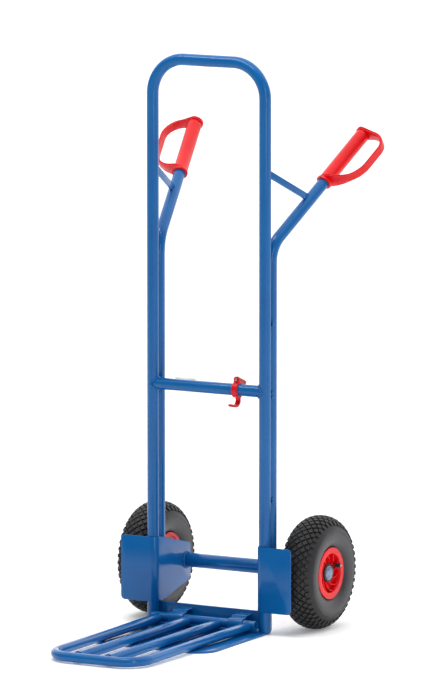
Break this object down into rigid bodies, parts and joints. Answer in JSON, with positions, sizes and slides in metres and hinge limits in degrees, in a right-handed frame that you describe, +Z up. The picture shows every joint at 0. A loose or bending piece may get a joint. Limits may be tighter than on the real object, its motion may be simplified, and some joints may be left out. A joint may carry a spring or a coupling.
{
  "type": "hand truck",
  "caption": "Upright two-wheeled hand truck: bent tube frame, fixed toe plate, folding tube toe with a catch hook, wheel guards and handles with knuckle guards.",
  "frame": {"origin": "on the floor, at the underside of the toe plate, in the middle of the width and under the axes of the two uprights", "axes": "+Z up, +X to the right seen from the front, +Y to the back; the toe points to -Y"},
  "size_m": [0.5676, 0.8688, 1.2995],
  "materials": {
    "blue_tube": "gloss blue powder coat on steel tube",
    "blue_sheet": "gloss blue powder coat on sheet steel",
    "red_grip": "satin red moulded plastic",
    "red_rim": "satin red moulded plastic",
    "red_hook": "red moulded plastic",
    "tyre": "dark grey tyre rubber",
    "black_rubber": "black rubber and plastic",
    "zinc_steel": "bright zinc plated steel",
    "bearing_steel": "ground steel",
    "pale_label": "blank pale plate"
  },
  "bodies": {
    "frame": {"main_hoop": "blue_tube", "crossbar": "blue_tube", "rating_plate": "pale_label", "right_handle_tube": "blue_tube", "left_handle_tube": "blue_tube", "right_strut": "blue_sheet", "left_strut": "blue_sheet", "right_grip": "red_grip", "left_grip": "red_grip", "right_wheel_guard": "blue_sheet", "left_wheel_guard": "blue_sheet", "toe_plate": "blue_sheet", "right_hinge_strap": "blue_sheet", "left_hinge_strap": "blue_sheet", "axle_tube": "blue_tube", "axle": "zinc_steel", "right_axle_bush": "bearing_steel", "left_axle_bush": "bearing_steel", "right_axle_spacer": "zinc_steel", "left_axle_spacer": "zinc_steel", "right_axle_washer": "zinc_steel", "left_axle_washer": "zinc_steel", "right_cap_ring": "black_rubber", "left_cap_ring": "black_rubber", "right_axle_cap": "zinc_steel", "left_axle_cap": "zinc_steel"},
    "right_wheel": {"right_tyre": "tyre", "right_inner_tube": "black_rubber", "right_rim": "red_rim", "right_inner_bearing": "bearing_steel", "right_outer_bearing": "bearing_steel", "right_valve_stem": "bearing_steel", "right_valve_cap": "black_rubber"},
    "left_wheel": {"left_tyre": "tyre", "left_inner_tube": "black_rubber", "left_rim": "red_rim", "left_inner_bearing": "bearing_steel", "left_outer_bearing": "bearing_steel", "left_valve_stem": "bearing_steel", "left_valve_cap": "black_rubber"},
    "folding_toe": {"hinge_tube": "blue_tube", "toe_hoop": "blue_tube", "toe_bar_right": "blue_tube", "toe_bar_left": "blue_tube"},
    "hook": {"catch_hook": "red_hook", "hook_rivet": "zinc_steel"}
  },
  "joints": [
    {"name": "right_wheel_spin", "type": "hinge", "parent": "frame", "child": "right_wheel", "pos_m": [0.2106, 0.12645, 0.1285], "axis": [1, 0, 0], "continuous": true},
    {"name": "left_wheel_spin", "type": "hinge", "parent": "frame", "child": "left_wheel", "pos_m": [-0.2106, 0.12645, 0.1285], "axis": [1, 0, 0], "continuous": true},
    {"name": "toe_fold", "type": "hinge", "parent": "frame", "child": "folding_toe", "pos_m": [0, -0.022, 0.0215], "axis": [-1, 0, 0], "range_deg": [0, 87]},
    {"name": "hook_swing", "type": "hinge", "parent": "frame", "child": "hook", "pos_m": [0.074, 0, 0.55], "axis": [1, 0, 0], "range_deg": [0, 100]}
  ]
}
